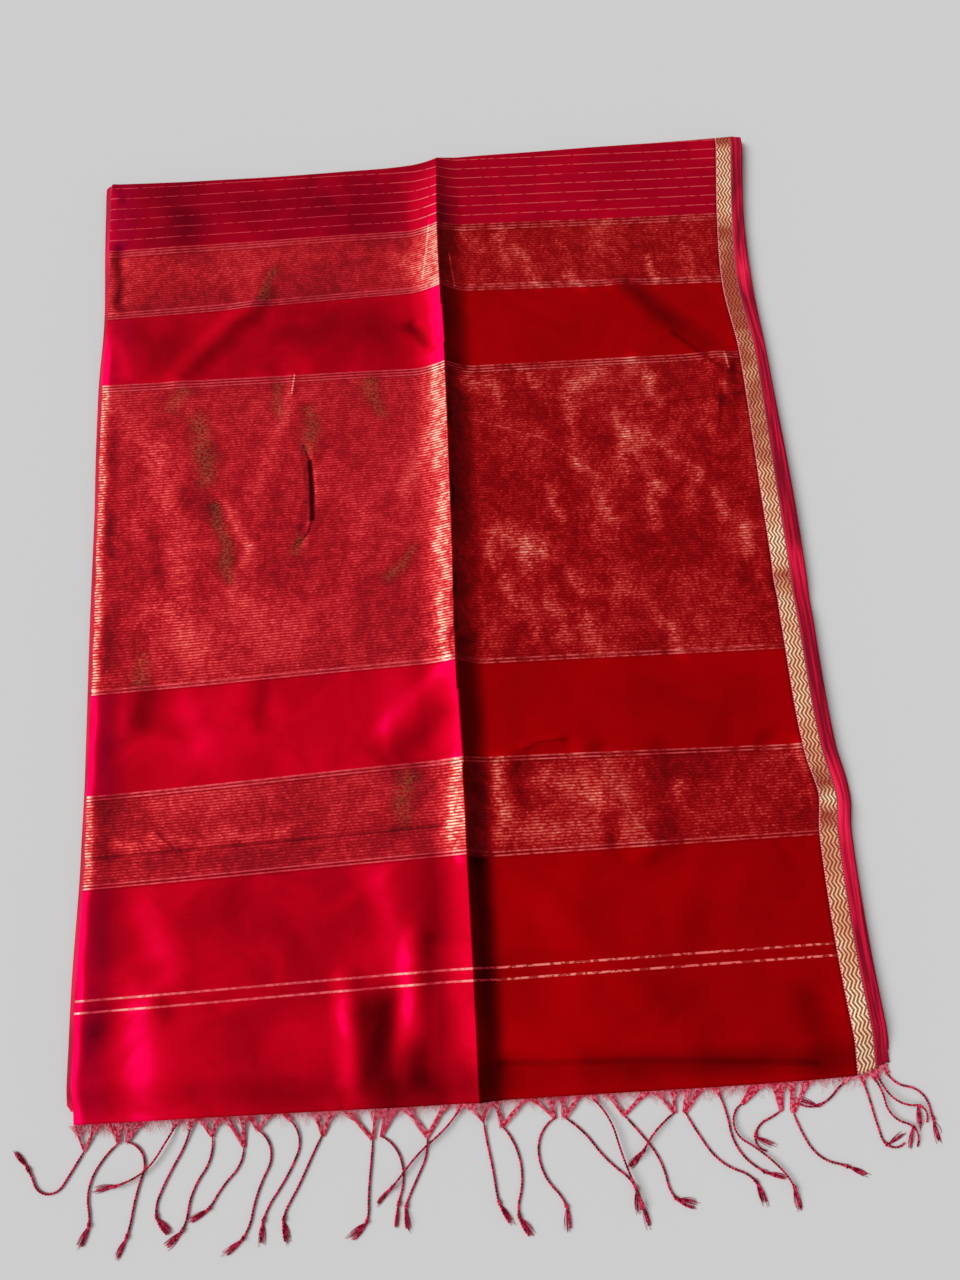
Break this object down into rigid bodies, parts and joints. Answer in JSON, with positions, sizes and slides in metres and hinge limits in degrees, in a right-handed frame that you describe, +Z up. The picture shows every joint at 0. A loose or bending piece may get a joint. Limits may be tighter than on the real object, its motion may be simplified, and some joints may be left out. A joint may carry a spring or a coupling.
{
  "type": "folded saree",
  "caption": "Handloom saree folded flat, its gold-banded end piece on top with a pressed centre crease, a woven zigzag border at one side and a knotted fringe.",
  "frame": {"origin": "middle of the flat underside, on the surface that the saree lies on", "axes": "+Z up, +Y along the cloth to the top fold, away from the fringe, +X to the woven border"},
  "size_m": [0.6451, 0.8943, 0.0205],
  "materials": {
    "pallu_silk": "fine shot silk-cotton, hot red to crimson with a soft sheen, with weft bands of gold zari thread",
    "border_zari": "woven gold zari on brown, lengthwise zigzag lines between dotted edges",
    "selvedge_silk": "plain silk-cotton selvedge, magenta red, with fine warp lines",
    "body_silk": "fine silk-cotton in folded layers, crimson, with thin broken gold weft lines",
    "fringe_silk": "twisted maroon and pink warp threads, knotted, with loose tassel ends"
  },
  "bodies": {
    "root": {"pallu_left": "pallu_silk", "pallu_right": "pallu_silk", "zari_border": "border_zari", "selvedge": "selvedge_silk", "under_layers": "body_silk", "fringe": "fringe_silk"}
  },
  "joints": []
}
